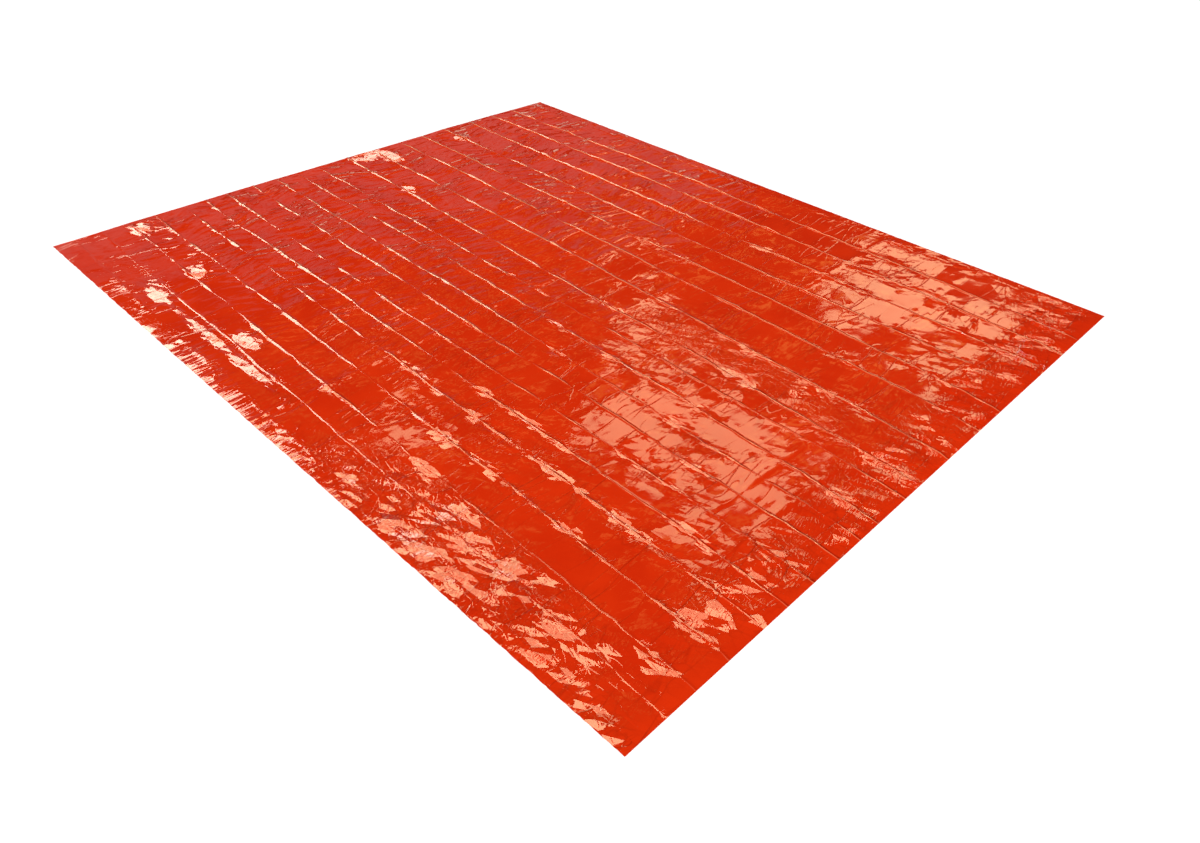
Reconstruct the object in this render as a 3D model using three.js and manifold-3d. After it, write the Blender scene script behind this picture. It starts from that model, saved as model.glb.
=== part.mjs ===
// Emergency sleeping bag of thin orange film, empty and lying flat.
// One film is folded at the foot and welded along both long sides, so the bag is one solid, open at its mouth.
// Millimetres, +Z up: X runs across the bag and Y from its foot to its mouth.
// The origin is under the middle of the bag, on the surface that it lies on.

import * as THREE from "three";
import { mergeVertices } from "three/addons/utils/BufferGeometryUtils.js";
import Module from "manifold-3d";

// Driving dimensions
const LENGTH = 2100; // foot to mouth
const WIDTH = 1750; // across both welded sides, with their puckers
const FILM = 1; // one layer
const ROOM = 4.2; // how far the upper layer stands up above its welds
const WELD_SLACK = 0.4; // gap between the layers at the inner edge of a weld
const SIDE_RISE = 95; // the upper layer comes up over this distance in from a weld
const FOOT_RISE = 125; // and over this distance up from the foot
const FOOT_BEND = 6; // depth of the bend where the film turns back at the foot
const FLANK = 10; // half the width of a crease
const CREST_SWELL = 0.3; // share by which a long crease's height comes and goes
const CREST_WAVE = 310; // length over which it does so
const SPAN_FADE = 45; // a cross crease dies away over this distance past its ends
const MOUTH_RISE = 180; // the waves of the mouth start this far in
const MOUTH_PAST = 20; // how far the space inside is carried out through the mouth before it is cut
const PUCKER_PITCH = 58; // spacing of the puckers along a weld
const PUCKER_LENGTH = 32; // from the edge inwards
const PUCKER_WIDTH = 16;
const PUCKER_HEIGHT = 2.8;
const PUCKER_REACH = 1.5; // how far a pucker stands out past the straight edge
const PUCKER_UNEVEN = 0.3; // share by which pitch and size differ from one pucker to the next

// Sizes that follow from them
const WELD_TOP = 2 * FILM + WELD_SLACK;
const EDGE = WIDTH / 2 - PUCKER_REACH;
const FOOT = -LENGTH / 2;
const MOUTH = LENGTH / 2;

// Lengthwise creases from one weld to the other: place across the bag at the foot, half way and at the mouth,
// and height of the crest. The first and the last run along the inner edges of the welds.
const LONG_CREASES = [
  { foot: -849, half: -834, mouth: -821, crest: 0.8 },
  { foot: -783, half: -761, mouth: -748, crest: 4.2 },
  { foot: -717, half: -693, mouth: -674, crest: 3.2 },
  { foot: -637, half: -612, mouth: -601, crest: 3.4 },
  { foot: -545, half: -528, mouth: -515, crest: 2.8 },
  { foot: -480, half: -462, mouth: -452, crest: 2.6 },
  { foot: -405, half: -395, mouth: -382, crest: 3.0 },
  { foot: -330, half: -313, mouth: -296, crest: 3.2 },
  { foot: -261, half: -238, mouth: -222, crest: 3.4 },
  { foot: -200, half: -157, mouth: -152, crest: 3.0 },
  { foot: -99, half: -87, mouth: -74, crest: 2.2 },
  { foot: -47, half: -3, mouth: 32, crest: 3.6 },
  { foot: 68, half: 109, mouth: 130, crest: 3.6 },
  { foot: 201, half: 227, mouth: 243, crest: 3.2 },
  { foot: 300, half: 321, mouth: 328, crest: 2.8 },
  { foot: 414, half: 416, mouth: 421, crest: 2.6 },
  { foot: 523, half: 525, mouth: 534, crest: 3.2 },
  { foot: 618, half: 639, mouth: 634, crest: 3.6 },
  { foot: 712, half: 738, mouth: 729, crest: 3.4 },
  { foot: 843, half: 838, mouth: 828, crest: 0.8 },
];

// Cross creases from the foot up: place along the bag at the -X side and at the +X side, height of the crest,
// and the stretches across the bag over which the crease shows.
const CROSS_CREASES = [
  { near: -893, far: -933, crest: 2.4, spans: [[-496, -150], [263, 700]] },
  { near: -809, far: -846, crest: 2.2, spans: [[-408, -130], [525, 830]] },
  { near: -685, far: -707, crest: 1.8, spans: [[-408, -130], [525, 830]] },
  { near: -617, far: -627, crest: 1.8, spans: [[-408, -130], [525, 830]] },
  { near: -452, far: -452, crest: 2.4, spans: [[-408, -117], [408, 846]] },
  { near: -226, far: -212, crest: 2.6, spans: [[-817, -532], [-58, 219]] },
  { near: 3, far: 36, crest: 3.0, spans: [[-840, 840]] },
  { near: 92, far: 150, crest: 1.6, spans: [[-598, -437], [102, 306]] },
  { near: 235, far: 262, crest: 1.6, spans: [[-233, -87], [525, 830]] },
  { near: 612, far: 655, crest: 1.6, spans: [[-379, -250], [437, 744]] },
];

// Waves of the upper layer at the mouth: middle of the wave across the bag, half its width, and its height.
const MOUTH_WAVES = [
  { across: -660, reach: 120, lift: 2.2 },
  { across: -330, reach: 110, lift: 1.2 },
  { across: 85, reach: 140, lift: 2.2 },
  { across: 430, reach: 110, lift: 1.4 },
];

// Places along the bag, past the creases, where the film needs points to follow its bends at the foot and mouth.
const FOOT_ROWS = [FOOT, FOOT + FOOT_BEND, FOOT + FOOT_RISE / 2];
const MOUTH_ROWS = [MOUTH - MOUTH_RISE, MOUTH - MOUTH_RISE / 2, MOUTH - MOUTH_RISE / 4, MOUTH];

const wasm = await Module();
wasm.setup();

const ease = (share) => THREE.MathUtils.smoothstep(share, 0, 1);

// A long crease's place across the bag, on the one parabola through its three stated places.
function longCreaseAt(crease, y) {
  const along = y / MOUTH;
  const lean = (crease.mouth - crease.foot) / 2;
  const bow = (crease.mouth + crease.foot) / 2 - crease.half;
  return crease.half + lean * along + bow * along * along;
}

// A cross crease's place along the bag.
function crossCreaseAt(crease, x) {
  return THREE.MathUtils.mapLinear(x, -EDGE, EDGE, crease.near, crease.far);
}

// How strongly a cross crease shows at a place across the bag, from 0 to 1.
function spanShare(crease, x) {
  const shares = crease.spans.map(([from, to]) => ease(1 - Math.max(from - x, x - to, 0) / SPAN_FADE));
  return Math.max(...shares);
}

// A straight-sided ridge, 1 on its crest and 0 past its flanks.
const tent = (offset) => Math.max(0, 1 - Math.abs(offset) / FLANK);

function longRidges(x, y) {
  return LONG_CREASES.reduce((height, crease, number) => {
    const swell = 1 + CREST_SWELL * Math.sin((2 * Math.PI * y) / CREST_WAVE + number * number);
    return height + crease.crest * swell * tent(x - longCreaseAt(crease, y));
  }, 0);
}

function crossRidges(x, y) {
  return CROSS_CREASES.reduce(
    (height, crease) => height + crease.crest * spanShare(crease, x) * tent(y - crossCreaseAt(crease, x)),
    0,
  );
}

// The slack of the upper layer: none at the welds and the foot, all of it away from them.
function slack(x, y) {
  const weld = x < 0 ? LONG_CREASES.at(0) : LONG_CREASES.at(-1);
  const fromWeld = Math.abs(longCreaseAt(weld, y)) - FLANK - Math.abs(x);
  const fromFoot = y - FOOT - FOOT_BEND;
  return ROOM * ease(fromWeld / SIDE_RISE) * ease(fromFoot / FOOT_RISE);
}

function mouthWaves(x, y) {
  const nearMouth = ease(1 - (MOUTH - y) / MOUTH_RISE);
  return MOUTH_WAVES.reduce(
    (height, wave) => height + wave.lift * nearMouth * ease(1 - Math.abs(x - wave.across) / wave.reach),
    0,
  );
}

// Height of the bag's upper face. Ridges fade out into the bend at the foot.
function upperFace(x, y) {
  const awayFromFoot = ease((y - FOOT - FOOT_BEND) / FOOT_RISE);
  const ridges = awayFromFoot * (longRidges(x, y) + crossRidges(x, y));
  return WELD_TOP + slack(x, y) + mouthWaves(x, y) + ridges;
}

// A closed solid under a grid of bent columns and rows: its top at height(x, y), its underside flat at the given level.
function reliefSolid(columns, rows, height, level) {
  const points = [];
  for (const row of rows) {
    for (const column of columns) {
      const y = row(column(0));
      const x = column(y);
      points.push(new THREE.Vector3(x, y, height(x, y)));
    }
  }
  const at = (column, row) => row * columns.length + column;
  const lastColumn = columns.length - 1;
  const lastRow = rows.length - 1;
  const triangles = [];
  for (let row = 0; row < lastRow; row++) {
    for (let column = 0; column < lastColumn; column++) {
      const [a, b] = [at(column, row), at(column + 1, row)];
      const [c, d] = [at(column + 1, row + 1), at(column, row + 1)];
      triangles.push(a, b, c, a, c, d);
    }
  }

  // The rim, anticlockwise from above, is carried straight down and closed by a fan about the middle.
  const rim = [
    ...columns.map((_, column) => at(column, 0)),
    ...rows.slice(1).map((_, row) => at(lastColumn, row + 1)),
    ...columns.slice(1).map((_, column) => at(lastColumn - 1 - column, lastRow)),
    ...rows.slice(2).map((_, row) => at(0, lastRow - 1 - row)),
  ];
  const firstBelow = points.length;
  for (const index of rim) {
    points.push(new THREE.Vector3(points[index].x, points[index].y, level));
  }
  const middle = points.push(new THREE.Vector3(0, 0, level)) - 1;
  rim.forEach((above, place) => {
    const next = (place + 1) % rim.length;
    const [below, belowNext] = [firstBelow + place, firstBelow + next];
    triangles.push(below, belowNext, rim[next], below, rim[next], above);
    triangles.push(middle, belowNext, below);
  });
  return new THREE.BufferGeometry().setFromPoints(points).setIndex(triangles);
}

// The bag's grid: three columns on each long crease, three rows on each cross crease.
const offsets = [-FLANK, 0, FLANK];
const creaseColumns = LONG_CREASES.flatMap((crease) => offsets.map((offset) => (y) => longCreaseAt(crease, y) + offset));
const creaseRows = CROSS_CREASES.flatMap((crease) => offsets.map((offset) => (x) => crossCreaseAt(crease, x) + offset));
const columns = [() => -EDGE, ...creaseColumns, () => EDGE];
const rows = [...FOOT_ROWS.map((y) => () => y), ...creaseRows, ...MOUTH_ROWS.map((y) => () => y)];

// The space inside keeps to the grid, one film below the upper face, between the welds and clear of the foot's bend.
const insideColumns = creaseColumns.slice(offsets.length - 1, 1 - offsets.length);
const insideRows = [...rows.slice(1, -1), () => MOUTH + MOUTH_PAST];
const ceiling = (x, y) => upperFace(x, Math.min(y, MOUTH)) - FILM;

// Uneven share between -1 and 1 for the pucker of that number.
const uneven = (number) => Math.sin(number * number);

// Short puckers at right angles to a welded edge, each a flattened four-sided cone with its point inwards.
function weldPuckers(side) {
  const count = Math.floor(LENGTH / PUCKER_PITCH) - 1;
  return Array.from({ length: count }, (_, place) => {
    const number = place + (side > 0 ? count : 0);
    const size = 1 + PUCKER_UNEVEN * uneven(number + 1);
    const cone = new THREE.ConeGeometry(1, PUCKER_LENGTH, 4);
    cone.scale((size * PUCKER_WIDTH) / 2, 1, (size * PUCKER_HEIGHT) / 2);
    cone.rotateZ((side * Math.PI) / 2);
    const y = FOOT + PUCKER_PITCH * (place + 1 + PUCKER_UNEVEN * uneven(number));
    cone.translate(side * (WIDTH / 2 - PUCKER_LENGTH / 2), y, WELD_TOP);
    return cone;
  });
}

function manifoldOf(geometry) {
  const bare = geometry.clone();
  bare.deleteAttribute("normal");
  bare.deleteAttribute("uv");
  const merged = mergeVertices(bare);
  const vertProperties = new Float32Array(merged.attributes.position.array);
  const triVerts = new Uint32Array(merged.index.array);
  return new wasm.Manifold(new wasm.Mesh({ numProp: 3, vertProperties, triVerts }));
}

function geometryOf(solid) {
  const mesh = solid.getMesh();
  const geometry = new THREE.BufferGeometry();
  geometry.setAttribute("position", new THREE.BufferAttribute(mesh.vertProperties, mesh.numProp));
  geometry.setIndex(new THREE.BufferAttribute(mesh.triVerts, 1));
  geometry.computeVertexNormals();
  return geometry;
}

function makeFilmBag() {
  const envelope = manifoldOf(reliefSolid(columns, rows, upperFace, 0));
  const inside = manifoldOf(reliefSolid(insideColumns, insideRows, ceiling, FILM));
  const puckers = [...weldPuckers(-1), ...weldPuckers(1)].map(manifoldOf);
  const solid = puckers.reduce((bag, pucker) => bag.add(pucker), envelope.subtract(inside));
  const film = new THREE.MeshStandardMaterial({ color: 0xd93210, roughness: 0.15, metalness: 0 });
  const mesh = new THREE.Mesh(geometryOf(solid), film);
  mesh.name = "film_bag";
  return mesh;
}

const bag = new THREE.Group();
bag.add(makeFilmBag());

export default bag;
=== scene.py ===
"""Emergency sleeping bag of thin, glossy, orange film, empty and lying flat, on a plain stage."""

import math
from typing import NamedTuple

import bpy
import numpy as np
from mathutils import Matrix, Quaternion, Vector


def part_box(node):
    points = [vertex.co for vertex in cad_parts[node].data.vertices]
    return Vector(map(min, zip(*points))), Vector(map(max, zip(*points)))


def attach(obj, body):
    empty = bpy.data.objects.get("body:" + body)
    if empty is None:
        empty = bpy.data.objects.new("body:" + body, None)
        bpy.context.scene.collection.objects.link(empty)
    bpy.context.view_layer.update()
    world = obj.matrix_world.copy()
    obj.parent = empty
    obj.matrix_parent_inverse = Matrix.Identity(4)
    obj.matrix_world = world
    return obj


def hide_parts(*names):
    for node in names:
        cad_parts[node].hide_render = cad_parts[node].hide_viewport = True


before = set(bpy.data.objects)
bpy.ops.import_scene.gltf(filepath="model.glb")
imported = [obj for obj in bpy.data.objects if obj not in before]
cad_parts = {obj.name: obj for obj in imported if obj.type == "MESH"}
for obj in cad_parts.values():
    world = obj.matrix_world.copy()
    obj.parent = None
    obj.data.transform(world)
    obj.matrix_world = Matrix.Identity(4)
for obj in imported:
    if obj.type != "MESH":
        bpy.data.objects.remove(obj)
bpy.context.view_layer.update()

bl_info = {
    "name": "Emergency Sleeping Bag",
    "version": (1, 0, 0),
    "blender": (4, 5, 0),
    "location": "3D View > Sidebar > Sleeping Bag",
    "description": "Makes a creased film sleeping bag, lying flat, and a plain stage for it",
    "category": "Object",
}

MM = 0.001
BAG_NODE = "film_bag"
BAG_LOW, BAG_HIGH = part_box(BAG_NODE)

# Fineness of the film's grid, in columns and millimetres
STRIP_COLUMNS = 16  # from one long crease to the next, closer together at the creases
WELD_COLUMNS = 6
ROW_STEP = 7.2
FOOT_ROW = 6  # from the fold at the foot to the next row
SMOOTH_ANGLE = math.radians(75)


class LongCrease(NamedTuple):
    """A lengthwise crease: its place across the foot, the middle and the mouth, and its crest, in mm."""

    foot: float
    half: float
    mouth: float
    crest: float


class CrossCrease(NamedTuple):
    """A cross crease: its place along the bag at the -X and +X side, its crest, and where it shows, in mm."""

    near: float
    far: float
    crest: float
    spans: tuple


class Crumple(NamedTuple):
    """A crushed place: its middle across and along the bag, its reach each way and its height, in mm.

    Crush, from 0 to 1, is how far the film there is broken into shards.
    """

    across: float
    along: float
    wide: float
    long: float
    lift: float
    crush: float


class MouthWave(NamedTuple):
    """A wave of the upper layer at the mouth: its middle across, half its width, and its height, in mm."""

    across: float
    reach: float
    lift: float


class Pucker(NamedTuple):
    """A run of short folds at a weld: its side, its start, end and reach inwards in mm, and its strength."""

    side: int
    start: float
    end: float
    reach: float
    strength: float


LONG_CREASES = (
    LongCrease(-849, -834, -821, 0.8),
    LongCrease(-783, -761, -748, 0.9),
    LongCrease(-717, -693, -674, 1.3),
    LongCrease(-637, -612, -601, 1.5),
    LongCrease(-545, -528, -515, 1.7),
    LongCrease(-480, -462, -452, 1.7),
    LongCrease(-405, -395, -382, 2.0),
    LongCrease(-330, -313, -296, 2.5),
    LongCrease(-261, -238, -222, 2.7),
    LongCrease(-200, -157, -152, 2.5),
    LongCrease(-99, -87, -74, 2.2),
    LongCrease(-47, -3, 32, 3.6),
    LongCrease(68, 109, 130, 3.8),
    LongCrease(201, 227, 243, 3.8),
    LongCrease(300, 321, 328, 3.4),
    LongCrease(414, 416, 421, 3.6),
    LongCrease(523, 525, 534, 4.2),
    LongCrease(618, 639, 634, 4.6),
    LongCrease(712, 738, 729, 4.6),
    LongCrease(843, 838, 828, 0.8),
)

CROSS_CREASES = (
    CrossCrease(-893, -933, 2.0, ((-496, -150), (263, 700))),
    CrossCrease(-809, -846, 1.6, ((-408, -130), (525, 830))),
    CrossCrease(-685, -707, 1.2, ((-408, -130), (525, 830))),
    CrossCrease(-617, -627, 1.2, ((-408, -130), (525, 830))),
    CrossCrease(-452, -452, 1.8, ((-408, -117), (408, 846))),
    CrossCrease(-226, -212, 2.0, ((-817, -532), (-58, 219))),
    CrossCrease(3, 36, 2.6, ((-840, 840),)),
    CrossCrease(92, 150, 1.2, ((-598, -437), (102, 306))),
    CrossCrease(235, 262, 1.2, ((-233, -87), (525, 830))),
    CrossCrease(612, 655, 1.2, ((-379, -250), (437, 744))),
)

CRUMPLES = (
    Crumple(-645, 1000, 46, 46, 3.0, 0.54),
    Crumple(-668, 665, 26, 40, 3.0, 0.6),
    Crumple(-722, 280, 30, 55, 3.0, 0.6),
    Crumple(-783, 300, 11, 260, 1.2, 0.62),
    Crumple(-775, 630, 30, 75, 1.5, 0.38),
    Crumple(75, 1018, 60, 46, 1.0, 0.55),
    Crumple(148, 968, 34, 85, 1.0, 0.54),
    Crumple(32, 722, 32, 50, 1.0, 0.56),
    Crumple(418, 945, 26, 30, 1.0, 0.56),
    Crumple(60, -985, 830, 70, 0.6, 0.30),
    Crumple(-785, -560, 80, 390, 0.8, 0.34),
    Crumple(20, -560, 60, 300, 0.6, 0.18),
    Crumple(780, -930, 90, 90, 0.8, 0.32),
    Crumple(600, -985, 120, 50, 1.4, 0.32),
    Crumple(-350, -985, 60, 70, 1.4, 0.26),
)

MOUTH_WAVES = (
    MouthWave(-660, 120, 1.0),
    MouthWave(-330, 110, 0.7),
    MouthWave(85, 140, 0.9),
    MouthWave(430, 110, 0.7),
)

PUCKERS = (
    Pucker(-1, -1050, -800, 34, 0.5),
    Pucker(-1, -800, -260, 50, 0.8),
    Pucker(-1, -260, 340, 48, 1.0),
    Pucker(-1, 340, 600, 24, 0.045),
    Pucker(-1, 620, 1000, 18, 0.02),
    Pucker(1, -1000, 1000, 30, 0.45),
)


class Wave(NamedTuple):
    """Unevenness along a crease: its wave length in mm, its size, and the step between the rows it reads.

    A crease reads the row of uneven values at its own number times the step, so neighbours differ.
    """

    length: float
    size: float
    row: float


LATTICE = 97  # uneven values a side, before they repeat

# Course of the long creases and the edges
SLOW_WANDER = Wave(170, 2.6, 5.0)
QUICK_WANDER = Wave(30, 1.9, 7.0)
EDGE_NOTCH = Wave(15, 1.5, 3.0)

# Crests of the long creases, as shares of their height, and the barbs on them
CREST_MEAN = 0.45
CREST_SWELL = Wave(75, 0.45, 11.0)
BARB = Wave(31, 1.1, 13.0)
BARB_SHIFT = Wave(60, 0.6, 19.0)
CREST_SHARES = (0.12, 1.5)  # the least and the most
FOOT_SHARE = 0.5  # of a crest in the foot half
HEAD_START, HEAD_SPAN = -320, 560  # crests grow along this stretch, in mm
STEEPER = 0.6825  # flanks gain this share of their slope from the middle to the +X side

# Cross creases, with lengths in mm and nicks as shares of the crest
SPAN_FADE = 45
CROSS_FLANK = 5.0
NICK_MEAN, NICK_SIZE = 0.6, 0.7
NICK_LENGTH, NICK_ROW = 24, 7

# Panels between the creases, with lengths and heights in mm
PANEL_LEAN = Wave(95, 0.8, 17.0)
PANEL_SHIFT = 0.37  # of a wave, from one crease to the next
BILLOW_LENGTHS = (260, 320)

# Flat facets, which bend aside a little, with lengths and heights in mm
FACET_BEND = 9
BEND_LENGTH, TURN_LENGTH = 60, 55
TURN_START, FINE_START = 40, 30  # columns of the lattice
COARSE_SIZE, FINE_SIZE = (34, 30), (15, 13)
COARSE_HEIGHT, FINE_HEIGHT = 0.4, 0.2
FACET_CALM, FACET_FOLDED = 0.2, 0.8  # shares of that height
FACET_REACH = 14  # from a long crease
COARSE_RIM, FINE_RIM, CRUMPLE_TOP = 0.25, 0.1, 0.8  # shares of a crumple's reach and height

# Puckers at the welds, with lengths and height in mm
PUCKER_ENDS = 90
PUCKER_MEAN, PUCKER_SWELL = 0.65, Wave(80, 0.35, 31.0)  # shares of their strength
PUCKER_HEIGHT = 1.4
PLEAT_LENGTHS = (16, 120)

# Welds, in mm
LOFT_START = 8  # inwards from a weld
WELD_WIDTH, WELD_RISE = 42, 45
FOOT_BEND = 20
FLATTER_START, FLATTER_SPAN = 420, 150
FLATTER = 0.65  # the welds lose this share of their rise by the mouth

# How far in from an edge the folds and the slack come to their full height, in mm
RIDGE_FADE = 25  # long ridges, from the foot
FOLD_FADE = 40  # all other folds, from the foot
SIDE_FADE = 60  # all folds but the puckers, from a long edge
SLACK_FADE = 170  # slack, from a long edge
MOUTH_FADE, MOUTH_SHARE = 60, 0.35  # long ridges, from their share at the mouth
LEAST_HEIGHT = 0.3

# What the material is told of each point, with lengths in mm
FOLD_REACH = 16.0
FOLD_MEAN, FOLD_PATCH = 0.3, Wave(120, 0.9, 41.0)
CREST_TOP, CREST_FLANK = 0.4, 2.2  # painted highlight of stretched film, on the two sides of a crest
# Painted shade beside a crest: how soon it rises, where it starts to fade, and over what length
PINCH_RISE, PINCH_START, PINCH_FADE = 1.5, 2.5, 4.0
FULL_CREST, LEAST_CREST = 1.8, 1
CRUSH_RIM = 1.5  # of a crumple's reach

# The lower layer is drawn in this far from the edges, in metres
UNDER_LAP = 0.02


class BagSizes(bpy.types.PropertyGroup):
    """Sizes of the bag and of its creases."""

    width: bpy.props.FloatProperty(
        name="Width", description="Across both welds", default=BAG_HIGH.x - BAG_LOW.x, unit="LENGTH"
    )
    length: bpy.props.FloatProperty(
        name="Length", description="Foot to mouth", default=BAG_HIGH.y - BAG_LOW.y, unit="LENGTH"
    )
    weld_height: bpy.props.FloatProperty(
        name="Weld height", description="Top of the weld at its inner edge", default=0.0020, unit="LENGTH"
    )
    edge_height: bpy.props.FloatProperty(
        name="Edge height", description="Film's height at its closed edges", default=0.0004, unit="LENGTH"
    )
    room: bpy.props.FloatProperty(
        name="Room", description="The film stands this far above its welds", default=0.0030, unit="LENGTH"
    )
    side_rise: bpy.props.FloatProperty(
        name="Side rise", description="The film is up this far in from a weld", default=0.30, unit="LENGTH"
    )
    foot_rise: bpy.props.FloatProperty(
        name="Foot rise", description="The film is up this far in from the foot", default=0.125, unit="LENGTH"
    )
    mouth_rise: bpy.props.FloatProperty(
        name="Mouth rise", description="The mouth's waves start this far in", default=0.18, unit="LENGTH"
    )
    flank: bpy.props.FloatProperty(
        name="Flank", description="Slope of a long crease's sides, half way across the bag", default=0.58
    )
    seed: bpy.props.IntProperty(name="Seed", description="Start of the uneven values", default=11)


class FilmFinish(bpy.types.PropertyGroup):
    """Colours and gloss of the film."""

    colour: bpy.props.FloatVectorProperty(
        name="Film", description="Colour of the film", subtype="COLOR", size=3,
        default=(0.634, 0.0258, 0.0020),
    )
    deep_colour: bpy.props.FloatVectorProperty(
        name="Deep film", description="Colour where it is thickest", subtype="COLOR", size=3,
        default=(0.580, 0.0200, 0.0014),
    )
    # Painted shade for the lines, wrinkles, strokes, shard rims and the film beside a crest
    crease_shade_colour: bpy.props.FloatVectorProperty(
        name="Crease", description="Darker colour of a scored line", subtype="COLOR", size=3,
        default=(0.27, 0.0075, 0.0008),
    )
    # Painted highlight on the crests, also standing for stretched, paler film
    crest_highlight_colour: bpy.props.FloatVectorProperty(
        name="Crest", description="Stretched, paler film on a sharp crest", subtype="COLOR", size=3,
        default=(0.92, 0.42, 0.19),
    )
    roughness: bpy.props.FloatProperty(
        name="Roughness", description="Least roughness", default=0.035, min=0.0, max=1.0, subtype="FACTOR"
    )
    brick_tilt: bpy.props.FloatProperty(
        name="Brick tilt", description="How far each length of a strip leans", default=0.012, min=0.0, max=1.0
    )
    brick_length: bpy.props.FloatProperty(
        name="Brick length", description="From one cross line to the next", default=0.068, unit="LENGTH"
    )


class StageLook(bpy.types.PropertyGroup):
    """Camera and floor."""

    camera_place: bpy.props.FloatVectorProperty(
        name="Camera", description="Where the camera stands", subtype="XYZ", size=3,
        default=(-1.4344, -1.5116, 1.1581),
    )
    camera_aim: bpy.props.FloatVectorProperty(
        name="Aim", description="Point at the picture's middle", subtype="XYZ", size=3,
        default=(-0.3526, -0.4839, 0.0),
    )
    camera_roll: bpy.props.FloatProperty(
        name="Roll", description="Turn about the line of sight", default=math.radians(1.95), subtype="ANGLE"
    )
    lens: bpy.props.FloatProperty(
        name="Lens", description="Focal length on a 36 mm frame", default=27.32, unit="CAMERA"
    )
    floor_colour: bpy.props.FloatVectorProperty(
        name="Floor", description="Colour of the floor", subtype="COLOR", size=3,
        default=(0.93, 0.93, 0.93),
    )


class Uneven:
    """Seeded uneven values from -1 to 1 on a square lattice, read as smooth swells or as flat facets."""

    def __init__(self, seed):
        self.values = np.random.default_rng(seed).uniform(-1.0, 1.0, (LATTICE, LATTICE))

    def corners(self, u, v):
        column = np.floor(u).astype(int)
        row = np.floor(v).astype(int)
        found = [self.values[(row + j) % LATTICE, (column + i) % LATTICE] for j in (0, 1) for i in (0, 1)]
        return u - column, v - row, found

    def swells(self, u, v):
        across, along, (a, b, c, d) = self.corners(u, v)
        across = ease(across)
        along = ease(along)
        return (a + (b - a) * across) * (1 - along) + (c + (d - c) * across) * along

    def facets(self, u, v):
        across, along, (a, b, c, d) = self.corners(u, v)
        lower = a + (b - a) * across + (c - a) * along
        upper = d + (c - d) * (1 - across) + (b - d) * (1 - along)
        return np.where(across + along < 1, lower, upper)


def ease(share):
    share = np.clip(share, 0.0, 1.0)
    return share * share * (3 - 2 * share)


def mix(first, second, share):
    return first + (second - first) * share


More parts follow.
